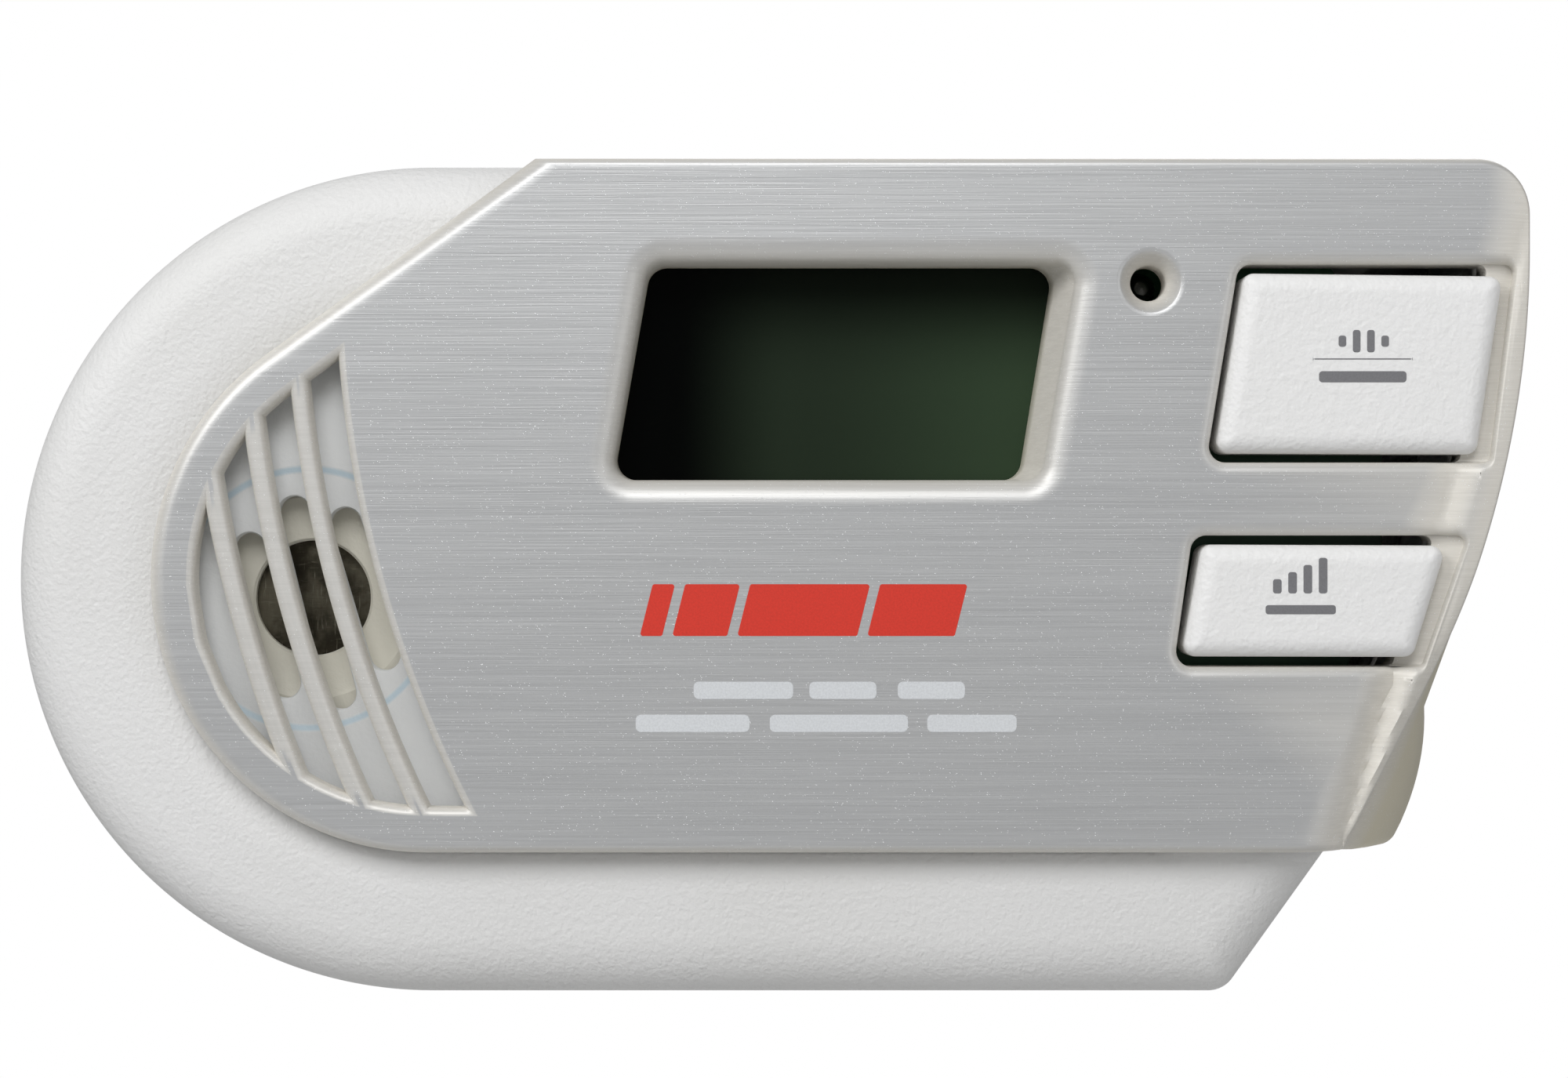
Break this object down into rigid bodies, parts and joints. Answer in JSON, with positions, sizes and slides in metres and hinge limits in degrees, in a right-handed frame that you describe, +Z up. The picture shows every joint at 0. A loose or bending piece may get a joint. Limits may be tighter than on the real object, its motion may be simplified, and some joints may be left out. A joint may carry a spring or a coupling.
{
  "type": "carbon monoxide detector",
  "caption": "Plug-in gas and carbon monoxide alarm with a slanted display window, curved vents, two push buttons, a two-blade plug and a rear battery bay.",
  "frame": {"origin": "between the two plug blades, on the rear face that rests against the wall plate", "axes": "+X along the alarm towards the buttons, +Y out of the rear towards the wall, +Z up"},
  "size_m": [0.1531, 0.0614, 0.0834],
  "materials": {
    "pearl_cover": "pearl silver translucent plastic with a fine horizontal brushed grain",
    "white_housing": "white moulded plastic with a fine grain",
    "white_button": "white moulded plastic with a fine grain and grey lettering left off",
    "display_glass": "dark green display glass",
    "display_parts": "black moulded plastic",
    "backlight": "milky diffuser sheet",
    "contact_rubber": "striped conductive rubber",
    "led_lens": "clear epoxy lens",
    "horn_plastic": "cream moulded plastic",
    "horn_metal": "dark bronze metal with fine scratches",
    "circuit_board": "green solder mask",
    "sensor_can": "grey sensor body",
    "bright_steel": "bright steel",
    "copper_winding": "enamelled copper wire",
    "core_iron": "varnished iron laminations",
    "capacitor_sleeve": "blue shrink sleeve",
    "fuse_glass": "fuse glass",
    "varistor_resin": "orange-brown resin",
    "blade_brass": "plated brass",
    "battery_jacket": "printed battery jacket left plain",
    "switch_plunger": "grey plunger",
    "plate_film": "blank silver label film"
  },
  "bodies": {
    "case": {"front_cover": "pearl_cover", "front_housing": "white_housing", "test_switch_body": "display_parts", "peak_switch_body": "display_parts", "lcd_polariser": "display_glass", "lcd_glass": "display_glass", "lcd_frame": "display_parts", "lcd_backlight": "backlight", "lcd_contact_strip_upper": "contact_rubber", "lcd_contact_strip_lower": "contact_rubber", "status_led": "led_lens", "horn_body": "horn_plastic", "horn_disc": "horn_metal", "horn_retainer": "horn_plastic", "main_board": "circuit_board", "microcontroller": "display_parts", "co_sensor": "sensor_can", "gas_sensor": "bright_steel", "transformer_bobbin": "display_parts", "transformer_winding": "copper_winding", "transformer_core": "core_iron", "capacitor_large": "capacitor_sleeve", "capacitor_small": "capacitor_sleeve", "voltage_regulator": "display_parts", "line_fuse": "fuse_glass", "surge_varistor": "varistor_resin", "rear_housing": "white_housing", "plug_insert": "display_parts", "blade_line": "blade_brass", "blade_neutral": "blade_brass", "line_contact": "blade_brass", "neutral_contact": "blade_brass", "battery_9v": "battery_jacket", "battery_snap_positive": "bright_steel", "battery_snap_negative": "bright_steel", "battery_terminal_block": "display_parts", "rating_plate": "plate_film", "case_screw_1": "bright_steel", "case_screw_2": "bright_steel", "case_screw_3": "bright_steel", "case_screw_4": "bright_steel", "board_screw_1": "bright_steel", "board_screw_2": "bright_steel", "board_screw_3": "bright_steel"},
    "test_button": {"test_button": "white_button"},
    "test_plunger": {"test_switch_plunger": "switch_plunger"},
    "peak_button": {"peak_button": "white_button"},
    "peak_plunger": {"peak_switch_plunger": "switch_plunger"},
    "battery_door": {"battery_door": "white_housing"}
  },
  "joints": [
    {"name": "test_button_press", "type": "hinge", "parent": "case", "child": "test_button", "pos_m": [0.0666, -0.037, 0.0124], "axis": [-0.1486, 0, -0.9889], "range_deg": [0, 2.5], "stiffness_Nm_per_rad": 0.6},
    {"name": "test_plunger_travel", "type": "slide", "parent": "case", "child": "test_plunger", "axis": [0, 1, 0], "range_m": [0, 0.000418]},
    {"name": "peak_button_press", "type": "hinge", "parent": "case", "child": "peak_button", "pos_m": [0.0603, -0.037, -0.0076], "axis": [-0.2953, 0, -0.9554], "range_deg": [0, 2.5], "stiffness_Nm_per_rad": 0.6},
    {"name": "peak_plunger_travel", "type": "slide", "parent": "case", "child": "peak_plunger", "axis": [0, 1, 0], "range_m": [0, 0.000384]},
    {"name": "battery_door_swing", "type": "hinge", "parent": "case", "child": "battery_door", "pos_m": [-0.0668, -0.0017, 0], "axis": [0, 0, 1], "range_deg": [0, 95]}
  ],
  "couplings": [
    {"joint": "test_plunger_travel", "follows": "test_button_press", "m_per_rad": 0.00939},
    {"joint": "peak_plunger_travel", "follows": "peak_button_press", "m_per_rad": 0.00863}
  ]
}
